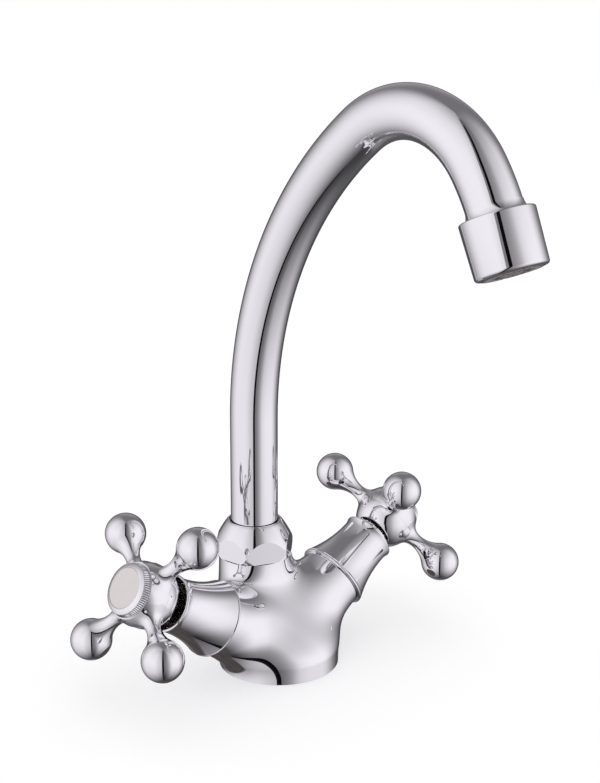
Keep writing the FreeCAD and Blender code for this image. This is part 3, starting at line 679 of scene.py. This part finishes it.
def exactNormals(mesh, field, planes):
    # shading normals from the exact surface, and flat ones on the cut ends
    slope = slopeOf(field, pointsOf(mesh))
    slope /= np.maximum(np.linalg.norm(slope, axis=1), flattest)[:, None]
    corners = np.zeros(len(mesh.loops), int)
    mesh.loops.foreach_get("vertex_index", corners)
    normals = slope[corners]
    for polygon in mesh.polygons:
        if len(polygon.vertices) <= cutEnd["corners"]:
            continue
        if any(polygon.normal.dot(outward) > cutEnd["alignment"] for point, outward in planes):
            for loop in polygon.loop_indices:
                normals[loop] = polygon.normal
    mesh.normals_split_custom_set(normals.tolist())


def cutAway(mesh, planes, reach=None):
    # planes are (point, outward direction); with a reach they cut only that near the Z axis
    shape = bmesh.new()
    shape.from_mesh(mesh)
    for point, outward in planes:
        geometry = None
        if reach:
            faces = [f for f in shape.faces if f.calc_center_median().xy.length < reach]
            corners = dict.fromkeys(v for f in faces for v in f.verts)
            edges = dict.fromkeys(e for f in faces for e in f.edges)
            geometry = [*corners, *edges, *faces]
        cutOff(shape, point, outward, geometry)
    for face in shape.faces:
        face.smooth = True
    bmesh.ops.recalc_face_normals(shape, faces=shape.faces)
    shape.to_mesh(mesh)
    shape.free()
    mesh.update()


def smoothForm(name, rough, cell, field, planes, reach=None):
    mesh = remeshed(rough, cell)
    mesh.name = name
    drawOnto(mesh, field)
    cutAway(mesh, planes, reach)
    exactNormals(mesh, field, planes)
    return mesh


# Body casting

casting = {
    "baseRadius": 25.0, "drawStart": 6.2, "drawEnd": 36.0,
    "neckRadius": 15.1, "neckTop": 43.3,
    "armRadius": 14.3, "armEnd": 39.4, "armRoot": 20.0, "rootEase": 5.0, "armBlend": 12.0,
    "footBlend": 13.0, "topBlend": 21.0, "blendTop": 12.2,   # the blend widens up to this height
    "cell": 0.6, "roughStart": 10.0, "spare": 3.0,           # the rough form goes this far past its cuts
}


def castingOutline(height):
    # centre line and radius of the drawn body at a height
    drawn = eased(height, casting["drawStart"], casting["drawEnd"])
    radius = casting["baseRadius"] + (casting["neckRadius"] - casting["baseRadius"]) * drawn
    return neckY * drawn, radius


def castingField(points):
    back, radius = castingOutline(points[:, 2])
    core = np.hypot(points[:, 0], points[:, 1] - back) - radius
    arms = []
    for side in sides:
        place = valvePlace(side)
        origin = np.array(place.translation)
        axis = np.array(place.to_3x3() @ Vector((0, 0, 1)))
        along = (points - origin) @ axis
        across = np.linalg.norm(points - origin - np.outer(along, axis), axis=1)
        inside = np.maximum(casting["armRoot"] - along, 0)
        inside = inside * np.sqrt(inside / (inside + casting["rootEase"]))    # the root's end starts softly
        arms.append(np.hypot(across, inside) - casting["armRadius"])
    both = softMin(arms[0], arms[1], casting["armBlend"])
    widened = eased(points[:, 2], 0, casting["blendTop"])
    blend = casting["footBlend"] + (casting["topBlend"] - casting["footBlend"]) * widened
    return softMin(core, both, blend)


def makeCasting():
    shape = bmesh.new()
    rings = []
    top, spare, steps = casting["neckTop"], casting["spare"], 10
    levels = [-spare] + [top * k / steps for k in range(steps + 1)] + [top + spare]
    for level in levels:
        back, radius = castingOutline(level)
        place = Matrix.Translation((0, float(back), level))
        ring = bmesh.ops.create_circle(shape, segments=roughAround, radius=float(radius), matrix=place)
        rings.append(ring["verts"])
    bmesh.ops.bridge_loops(shape, edges=[edge for ring in rings for edge in edgesOf(ring)])
    bmesh.ops.holes_fill(shape, edges=shape.edges, sides=0)
    for side in sides:
        end = casting["armEnd"] + spare
        addRod(shape, valvePlace(side), casting["roughStart"], end, casting["armRadius"])
    up = Vector((0, 0, 1))
    planes = [(up * 0, -up), (up * top, up)]
    for side in sides:
        place = valvePlace(side)
        planes.append((place @ (up * casting["armEnd"]), place.to_3x3() @ up))
    mesh = smoothForm("castingSkin", shape, casting["cell"], castingField, planes)
    finishPiece(mesh, "tap_body", "polished_chrome", ["body_casting"])


makeCasting()
print("body casting drawn")


# Spout nut

nut = {
    "lipRadius": 11.4, "lip": 58.6, "roof": 55.0, "shoulder": 48.5, "waist": 46.5, "foot": 43.5,
    "cornerRadius": 17.07, "footRadius": 15.9, "flats": 30.0, "turn": -20.7,
    "bore": 10.6, "threadRadius": 12.0, "coneBulge": 0.4, "footBulge": 0.15,
    "lipEdge": 0.2, "lipInset": 0.05, "sides": 6, "around": 180,
}


def makeNut():
    shoulder, lip = (nut["cornerRadius"], nut["shoulder"]), (nut["lipRadius"], nut["lip"])
    waist, foot = (nut["cornerRadius"], nut["waist"]), (nut["footRadius"], nut["foot"])
    coneMiddle = ((shoulder[0] + lip[0]) / 2 + nut["coneBulge"], (shoulder[1] + lip[1]) / 2)
    footMiddle = ((foot[0] + waist[0]) / 2 + nut["footBulge"], (foot[1] + waist[1]) / 2)
    outline = [(nut["threadRadius"], nut["foot"]), foot]
    outline += arcThrough(foot, footMiddle, waist, steps=8)
    outline += [shoulder]
    outline += arcThrough(shoulder, coneMiddle, lip, steps=14)[:-1]
    outline += [
        (lip[0] - nut["lipInset"], lip[1] - nut["lipEdge"] / 2),
        (lip[0] - nut["lipEdge"], lip[1]),
        (nut["bore"] + nut["lipEdge"] / 2, lip[1]),
        (nut["bore"], lip[1] - nut["lipEdge"]),
        (nut["bore"], nut["roof"]),
        (nut["threadRadius"], nut["roof"]),
    ]
    shape = spun(outline, nut["around"])
    bmesh.ops.recalc_face_normals(shape, faces=shape.faces)
    for side in range(nut["sides"]):
        angle = math.radians(360 / nut["sides"] * side - nut["turn"])
        outward = Vector((math.sin(angle), math.cos(angle), 0))
        cutOff(shape, outward * nut["flats"] / 2, outward)
    mesh = meshFrom(shape, "spoutNutSkin", sharpAngle=18)
    return finishPiece(mesh, "tap_body", "polished_chrome", ["spout_nut"], neckPlace)


evenNormals(makeNut())
print("spout nut cut")


# Spout tube

tube = {
    "radius": 9.9, "start": 53.9, "straight": 48.5, "endStraight": 6.6,
    "bends": [(151.8, 53.6), (39.8, 90.8), (87.4, 12.3)],    # radius in mm, turn in degrees
    "around": 96, "step": 1.6, "straightStep": 6.4, "wall": 1.0,
}


def leaning(lean):
    # direction that leans from upright towards the user
    return Vector((0, -math.sin(lean), math.cos(lean)))


def makeTube():
    # a ring is drawn out along the straights and turned round the bends
    shape = bmesh.new()
    point = Vector((0, neckY, tube["start"]))
    lean = 0.0
    place = Matrix.Translation(point)
    ring = bmesh.ops.create_circle(shape, segments=tube["around"], radius=tube["radius"], matrix=place)
    edges = edgesOf(ring["verts"])
    runs = [("straight", tube["straight"])]
    runs += [("bend", bend) for bend in tube["bends"]]
    runs += [("straight", tube["endStraight"])]
    for kind, size in runs:
        ahead, inward = leaning(lean), leaning(lean + math.pi / 2)
        if kind == "straight":
            steps = max(1, round(size / tube["straightStep"]))
            for step in range(steps):
                result = bmesh.ops.extrude_edge_only(shape, edges=edges)
                moved = [g for g in result["geom"] if isinstance(g, bmesh.types.BMVert)]
                edges = [g for g in result["geom"] if isinstance(g, bmesh.types.BMEdge)]
                bmesh.ops.translate(shape, verts=moved, vec=ahead * size / steps)
            point = point + ahead * size
        else:
            radius, turn = size[0], math.radians(size[1])
            centre = point + inward * radius
            result = bmesh.ops.spin(
                shape, geom=edges, cent=centre, axis=(1, 0, 0), angle=turn,
                steps=max(4, round(radius * turn / tube["step"])), use_merge=False,
            )
            edges = [g for g in result["geom_last"] if isinstance(g, bmesh.types.BMEdge)]
            lean += turn
            point = centre - leaning(lean + math.pi / 2) * radius
    bmesh.ops.remove_doubles(shape, verts=shape.verts, dist=weld)
    bmesh.ops.recalc_face_normals(shape, faces=shape.faces)
    bmesh.ops.solidify(shape, geom=shape.faces[:], thickness=tube["wall"])
    mesh = meshFrom(shape, "spoutTubeSkin", sharpAngle=50)
    return point, lean, mesh


outletPoint, outletLean, tubeMesh = makeTube()
finishPiece(tubeMesh, "spout", "polished_chrome", ["spout_tube"])
print("spout tube bent")


# Outlet fitting and aerator housing

outletDirection = leaning(outletLean)
outletPlace = Matrix.Translation(outletPoint - outletDirection * tube["endStraight"])
outletPlace = outletPlace @ Vector((0, 0, 1)).rotation_difference(outletDirection).to_matrix().to_4x4()

fitting = {
    "start": -4.6, "collarEnd": -1.55, "bore": 9.96, "edgeRadius": 10.02, "collarRadius": 10.95,
    "threadRadius": 11.5, "flareSteps": 10,
}


def makeFitting():
    # the collar leaves the tube tangentially and flares out to the housing
    rise = fitting["collarRadius"] - fitting["edgeRadius"]
    run = fitting["collarEnd"] - fitting["start"]
    turn = 2 * math.atan2(rise, run)
    radius = run / math.sin(turn)
    outline = [(fitting["bore"], fitting["start"])]
    for step in range(fitting["flareSteps"] + 1):
        angle = turn * step / fitting["flareSteps"]
        outline.append((
            fitting["edgeRadius"] + radius * (1 - math.cos(angle)),
            fitting["start"] + radius * math.sin(angle),
        ))
    outline += [
        (fitting["threadRadius"], fitting["collarEnd"]),
        (fitting["threadRadius"], tube["endStraight"]),
        (fitting["bore"], tube["endStraight"]),
    ]
    mesh = meshFrom(spun(outline), "outletFittingSkin")
    finishPiece(mesh, "spout", "polished_chrome", ["outlet_fitting"], outletPlace)


housing = {
    "radius": 13.3, "endRadius": 12.9, "top": -1.55, "end": 18.5, "edge": 0.7, "mouthEdge": 1.2,
    "bore": 11.6, "mouthRadius": 10.9, "ledge": 17.5,
}


def makeHousing():
    radius, endRadius = housing["radius"], housing["endRadius"]
    edge, mouthEdge = housing["edge"], housing["mouthEdge"]
    outline = [(housing["bore"], housing["top"])]
    outline += roundCorner((radius - edge, housing["top"] + edge), edge, -90, 0)
    outline += roundCorner((endRadius - mouthEdge, housing["end"] - mouthEdge), mouthEdge, 0, 90)
    outline += [
        (housing["mouthRadius"], housing["end"]),
        (housing["mouthRadius"], housing["ledge"]),
        (housing["bore"], housing["ledge"]),
    ]
    mesh = meshFrom(spun(outline), "aeratorHousingSkin")
    finishPiece(mesh, "spout", "polished_chrome", ["aerator_housing"], outletPlace)


insertFace = {"recess": 0.9, "shadow": (0.012, 0.010, 0.011)}


def centreInsertRibs():
    # the insert's ribs run round the outlet, and painted shade darkens it down in its cells and notches
    nodes = finishes["grey_plastic"].node_tree.nodes
    links = finishes["grey_plastic"].node_tree.links
    middle = outletPlace @ Vector((0, 0, housing["end"])) * toMetres
    centred = nodes.new("ShaderNodeMapping")
    centred.inputs["Location"].default_value = -middle
    links.new(nodes["Texture Coordinate"].outputs["Object"], centred.inputs["Vector"])
    links.new(centred.outputs["Vector"], nodes["Wave Texture"].inputs["Vector"])
    along = nodes.new("ShaderNodeVectorMath")
    along.operation = "DOT_PRODUCT"
    along.inputs[1].default_value = outletDirection
    links.new(centred.outputs["Vector"], along.inputs[0])
    recess = insertFace["recess"] * toMetres
    # painted shade deeper than the recess depth
    shown = smoothRange(nodes, links, along.outputs["Value"], -recess, 0.0)
    base = nodes["Principled BSDF"].inputs["Base Color"]
    ribbed = base.links[0].from_socket
    links.new(mixColours(nodes, links, shown, insertFace["shadow"], ribbed), base)


makeFitting()
makeHousing()
centreInsertRibs()
print("outlet end turned")


# Sleeves

sleeve = {
    "lipStart": 38.3, "lipRadius": 15.8, "bead": 0.6, "beadTurn": 50.0, "groove": 0.12, "lipBore": 14.6,
    "waist": (11.5, 55.0), "narrow": (11.15, 61.0), "flare": (11.75, 64.0),    # radius, height on the axis
    "mouthTop": 64.6, "mouthEdge": 0.6, "mouthRadius": 10.9, "bore": (9.9, 59.6),
    "webTop": 49.0, "web": 45.8, "webRadius": 9.25,
    "cavityTop": 12.6, "cavityFoot": (12.8, 41.8), "ledge": 40.1,
}


def makeSleeve(side):
    lipRadius, bead, lipStart = sleeve["lipRadius"], sleeve["bead"], sleeve["lipStart"]
    narrow, flare = sleeve["narrow"], sleeve["flare"]
    flareMiddle = (narrow[0] + (flare[0] - narrow[0]) / 4, (narrow[1] + flare[1]) / 2)    # it opens late
    mouthCentre = (flare[0] - sleeve["mouthEdge"], flare[1])
    outline = [(sleeve["lipBore"], lipStart)]
    outline += roundCorner((lipRadius - bead, lipStart + bead), bead, -90, sleeve["beadTurn"], steps=12)
    beadEnd = outline[-1]
    outline.append((beadEnd[0] - sleeve["groove"], beadEnd[1] + sleeve["groove"]))
    outline.append((beadEnd[0] + sleeve["groove"] / 2, beadEnd[1] + 3 * sleeve["groove"]))
    outline += arcThrough(outline[-1], sleeve["waist"], narrow, steps=32)
    outline += arcThrough(narrow, flareMiddle, flare, steps=8)[:-1]
    outline += roundCorner(mouthCentre, sleeve["mouthEdge"], 0, 90, steps=5)
    outline += [
        (sleeve["mouthRadius"], sleeve["mouthTop"]),
        sleeve["bore"],
        (sleeve["bore"][0], sleeve["webTop"]),
        (sleeve["webRadius"], sleeve["webTop"]),
        (sleeve["webRadius"], sleeve["web"]),
        (sleeve["cavityTop"], sleeve["web"]),
        sleeve["cavityFoot"],
        (sleeve["lipBore"], sleeve["ledge"]),
    ]
    mesh = meshFrom(spun(outline), side + "SleeveSkin", sharpAngle=30)
    finishPiece(mesh, "tap_body", "polished_chrome", [side + "_sleeve"], valvePlace(side))


for side in sides:
    makeSleeve(side)
print("sleeves turned")


# Cross handles

handle = {
    "skirt": (8.3, 62.0), "foot": (8.3, 66.4), "flare": (11.2, 69.5),      # radius, height on the axis
    "wide": (12.8, 75.5), "crown": (12.8, 79.4), "top": (11.3, 84.2),
    "ballPlane": 77.4, "ballRadius": 8.3, "ballReach": 30.9, "arms": 4,
    "neckRadius": 2.95, "neckReach": 17.3, "rootCurve": 8.0, "rootAngle": 58.2,
    "angle": {"hot": 53.4, "cold": 41.2}, "blend": 2.4, "cell": 0.5,
    "spare": 3.0, "overlap": 2.0, "roughArm": (3.6, 6.0),      # of the rough form; its arm's radius, start
}
farAway = 1000.0


def armBlend():
    # radius of the hollow that touches both the neck and the ball
    run = handle["ballReach"] - handle["neckReach"]
    ball, neck = handle["ballRadius"], handle["neckRadius"]
    return (neck ** 2 + run ** 2 - ball ** 2) / (2 * (ball - neck))


def armField(along, across):
    # distance to one pear-shaped arm: hollow root curve, hollow blend, ball
    ball, neck = handle["ballRadius"], handle["neckRadius"]
    reach, neckReach = handle["ballReach"], handle["neckReach"]
    blend = armBlend()
    root = handle["rootCurve"]
    hollow = blend - np.hypot(along - neckReach, across - neck - blend)
    flare = root - np.hypot(along - neckReach, across - neck - root)
    sphere = np.hypot(along - reach, across) - ball
    touch = reach - ball * (reach - neckReach) / math.hypot(neck + blend, reach - neckReach)
    rootStart = neckReach - root * math.sin(math.radians(handle["rootAngle"]))
    rootRadius = neck + root * (1 - math.cos(math.radians(handle["rootAngle"])))
    stub = np.hypot(across, np.minimum(along, 0)) - rootRadius
    result = np.where(along > touch, sphere, hollow)
    result = np.where(along < neckReach, flare, result)
    return np.where(along < rootStart, stub, result)


def hubField(out, height):
    # distance to the hub's outline: straight skirt, then two arcs up to the top
    x, y, radius = circleOf(handle["foot"], handle["flare"], handle["wide"])
    lower = np.hypot(out - x, height - y) - radius
    x, y, radius = circleOf(handle["wide"], handle["crown"], handle["top"])
    upper = np.hypot(out - x, height - y) - radius
    skirt = out - handle["foot"][0]
    result = np.where(height < handle["wide"][1], lower, upper)
    return np.where(height < handle["foot"][1], skirt, result)


def handleField(side):
    turn = math.radians(handle["angle"][side])

    def field(points):
        height = points[:, 2]
        result = hubField(np.hypot(points[:, 0], points[:, 1]), height)
        for arm in range(handle["arms"]):
            angle = turn + 2 * math.pi * arm / handle["arms"]
            along = points[:, 0] * math.cos(angle) + points[:, 1] * math.sin(angle)
            sideways = points[:, 1] * math.cos(angle) - points[:, 0] * math.sin(angle)
            across = np.hypot(sideways, height - handle["ballPlane"])
            one = np.where(along > 0, armField(along, across), farAway)
            result = softMin(result, one, handle["blend"])
        return result

    return field


def makeHandle(side):
    shape = bmesh.new()
    footRadius, foot = handle["foot"]
    low, high = handle["skirt"][1] - handle["spare"], handle["top"][1] + handle["spare"]
    addRod(shape, Matrix(), low, foot + handle["overlap"], footRadius)
    addRod(shape, Matrix(), foot, high, handle["flare"][0], handle["wide"][0])
    armRadius, armStart = handle["roughArm"]
    for arm in range(handle["arms"]):
        angle = math.radians(handle["angle"][side]) + 2 * math.pi * arm / handle["arms"]
        place = Matrix.Rotation(angle, 4, "Z") @ Matrix.Translation((0, 0, handle["ballPlane"]))
        bmesh.ops.create_uvsphere(
            shape, u_segments=48, v_segments=32, radius=handle["ballRadius"],
            matrix=place @ Matrix.Translation((handle["ballReach"], 0, 0)),
        )
        outward = place @ Matrix.Rotation(math.pi / 2, 4, "Y")
        addRod(shape, outward, armStart, handle["ballReach"], armRadius, around=32)
    up = Vector((0, 0, 1))
    planes = [(up * handle["top"][1], up), (up * handle["skirt"][1], -up)]
    name, cell, field = side + "HandleSkin", handle["cell"], handleField(side)
    mesh = smoothForm(name, shape, cell, field, planes, handle["neckReach"])
    finishPiece(mesh, side + "_handle", "polished_chrome", [side + "_cross_handle"], valvePlace(side))


for side in sides:
    makeHandle(side)
print("cross handles blended")


# Caps on the handles

cap = {
    "bottom": 84.2, "bandFoot": 10.95, "bandEdge": 0.3, "bandSteps": 4,
    "bandTop": (10.4, 86.6), "faceEdge": (10.2, 86.85), "rim": (8.25, 87.85),    # radius, height
    "bulge": 0.06, "rimEdge": 0.08, "seat": 86.6, "seatRadius": 7.6,
    "ribs": 76, "ribDepth": 0.42, "pointsPerRib": 6,
}
badge = {
    "radius": 8.08, "edge": 87.7, "top": 87.95, "chamferIn": 0.15, "chamferUp": 0.1,
    "domeRadii": (7.0, 5.5, 4.0, 2.5, 1.2, 0.0), "around": 120,
}


def makeCapRing(side):
    bottom, foot = cap["bottom"], cap["bandFoot"]
    bandTop, faceEdge, rim = cap["bandTop"], cap["faceEdge"], cap["rim"]
    middle = ((faceEdge[0] + rim[0]) / 2 + cap["bulge"], (faceEdge[1] + rim[1]) / 2 + cap["bulge"])
    bandStart = bottom + cap["bandEdge"]
    outline = [(cap["seatRadius"], bottom), (foot - cap["bandEdge"], bottom), (foot, bandStart)]
    for step in range(1, cap["bandSteps"]):
        share = step / cap["bandSteps"]
        outline.append((foot + (bandTop[0] - foot) * share, bandStart + (bandTop[1] - bandStart) * share))
    outline += [bandTop, faceEdge]
    outline += arcThrough(faceEdge, middle, rim, steps=6)
    outline += [
        (rim[0] - cap["rimEdge"], rim[1] - cap["rimEdge"]),
        (rim[0] - cap["rimEdge"], cap["seat"]),
        (cap["seatRadius"], cap["seat"]),
    ]
    shape = spun(outline, cap["pointsPerRib"] * cap["ribs"])
    # the trough value marks the knurl groove bottoms, where the chrome gets painted shade
    trough = shape.verts.layers.float.new("trough")
    low, high = (bottom + bandStart) / 2, (bandTop[1] + faceEdge[1]) / 2
    for vert in shape.verts:
        if vert.co.xy.length > rim[0] and low < vert.co.z < high:
            angle = math.atan2(vert.co.y, vert.co.x)
            share = 0.5 - 0.5 * math.cos(cap["ribs"] * angle)
            vert.co.xy *= 1 - cap["ribDepth"] * share / vert.co.xy.length
            vert[trough] = share ** 2
    mesh = meshFrom(shape, side + "CapRingSkin", sharpAngle=60)
    body = side + "_handle"
    ring = finishPiece(mesh, body, "polished_chrome", [side + "_cap_ring"], valvePlace(side))
    ring.data.materials[0] = knurledChrome


def makeBadge(side):
    radius, edge, top = badge["radius"], badge["edge"], badge["top"]
    chamfer = (radius - badge["chamferIn"], edge + badge["chamferUp"])
    rise = top - chamfer[1]
    domeRadius = (radius ** 2 + rise ** 2) / (2 * rise)
    outline = [(0, cap["seat"]), (radius, cap["seat"]), (radius, edge), chamfer]
    for out in badge["domeRadii"]:
        outline.append((out, top - domeRadius + math.sqrt(domeRadius ** 2 - out ** 2)))
    mesh = meshFrom(spun(outline, badge["around"]), side + "BadgeSkin", sharpAngle=25)
    finishPiece(mesh, side + "_handle", "cream_badge", [side + "_cap_badge"], valvePlace(side))


for side in sides:
    makeCapRing(side)
    makeBadge(side)
print("caps and badges made")
